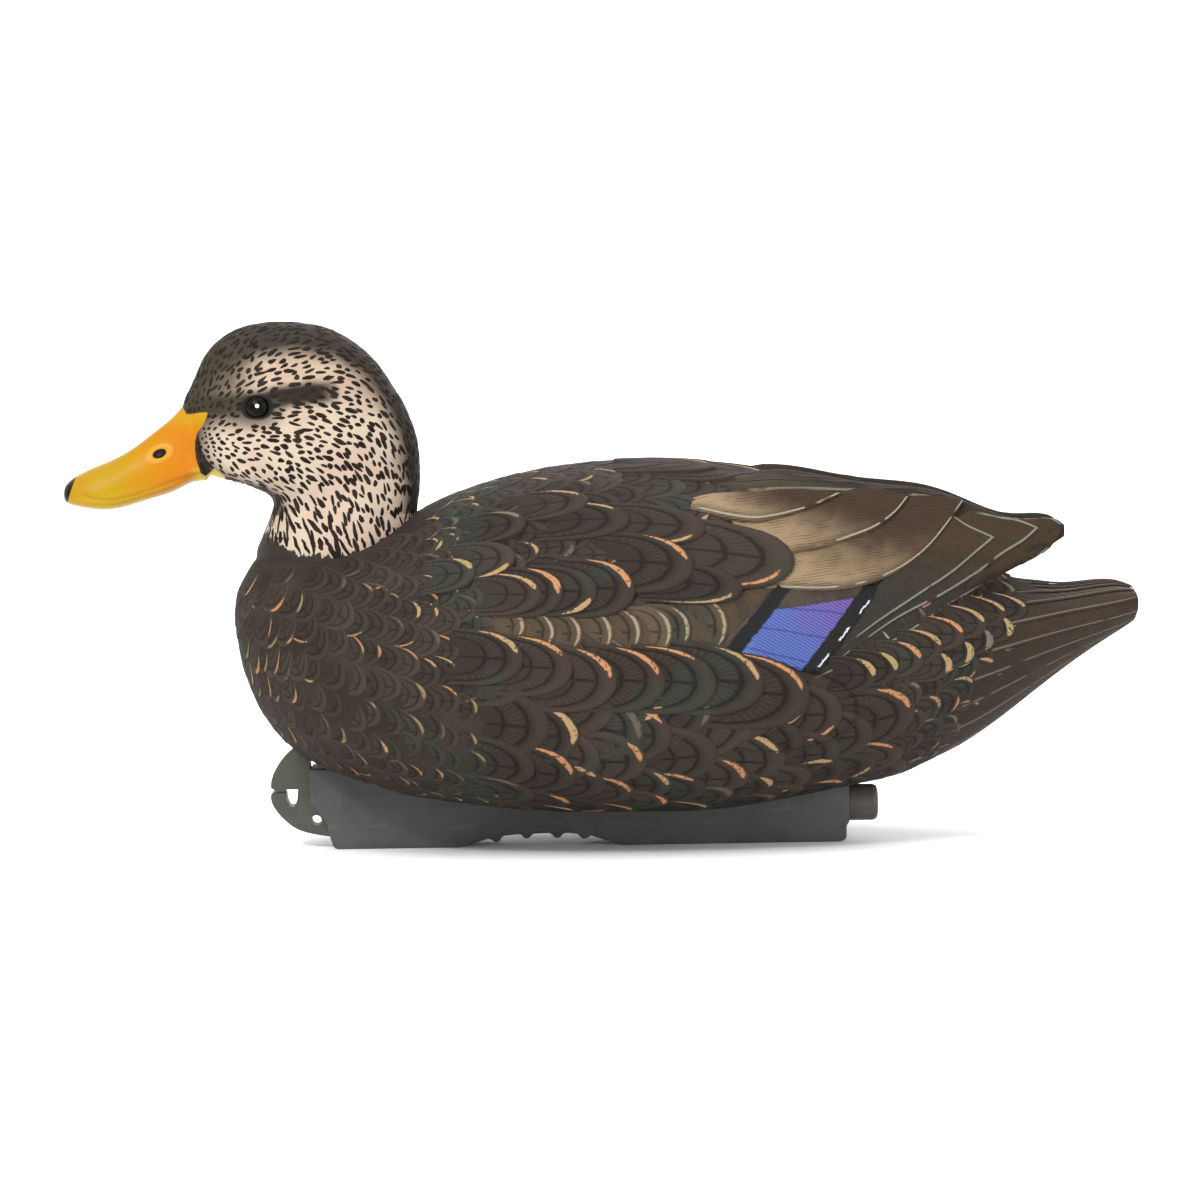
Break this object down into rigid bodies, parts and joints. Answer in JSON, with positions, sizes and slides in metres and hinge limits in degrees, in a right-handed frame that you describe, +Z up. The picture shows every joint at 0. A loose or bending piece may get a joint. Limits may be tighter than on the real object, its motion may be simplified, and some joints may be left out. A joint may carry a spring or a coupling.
{
  "type": "floating duck decoy",
  "caption": "Floating black duck decoy with folded wings, a turning snap-in head and a hollow weighted keel with a slotted nose tab for the anchor line.",
  "frame": {"origin": "on the floor under the middle of the overall box, the keel's feet standing on it", "axes": "the bill points along -X and the tail along +X, the duck's right side is +Y, +Z is up"},
  "size_m": [0.4799, 0.1818, 0.2369],
  "materials": {
    "body_paint": "matt dark brown paint over moulded feathers, with tan feather edges",
    "head_paint": "matt tan paint with fine dark brown flecks, orange bill",
    "keel_plastic": "satin dark grey moulded plastic",
    "tab_plastic": "satin olive grey moulded plastic",
    "plug_plastic": "satin brown grey moulded plastic",
    "ring_plastic": "smooth black moulded plastic",
    "cast_ballast": "rough cast filler",
    "screw_steel": "zinc plated",
    "seal_rubber": "matt black",
    "eye_gloss": "polished black lens"
  },
  "bodies": {
    "body": {"body_shell": "body_paint", "neck_washer": "seal_rubber", "keel_shell": "keel_plastic", "anchor_tab": "tab_plastic", "front_ballast": "cast_ballast", "rear_ballast": "cast_ballast", "keel_screws": "screw_steel", "screw_seals": "seal_rubber"},
    "head": {"head_shell": "head_paint", "neck_lock_ring": "ring_plastic", "eye_right": "eye_gloss", "eye_left": "eye_gloss"},
    "plug": {"ballast_plug": "plug_plastic", "plug_seal": "seal_rubber"}
  },
  "joints": [
    {"name": "head_swivel", "type": "hinge", "parent": "body", "child": "head", "pos_m": [-0.1182, 0, 0.118], "axis": [0, 0, 1], "range_deg": [-40, 40]},
    {"name": "plug_pull", "type": "slide", "parent": "body", "child": "plug", "axis": [1, 0, 0], "range_m": [0, 0.016]}
  ]
}
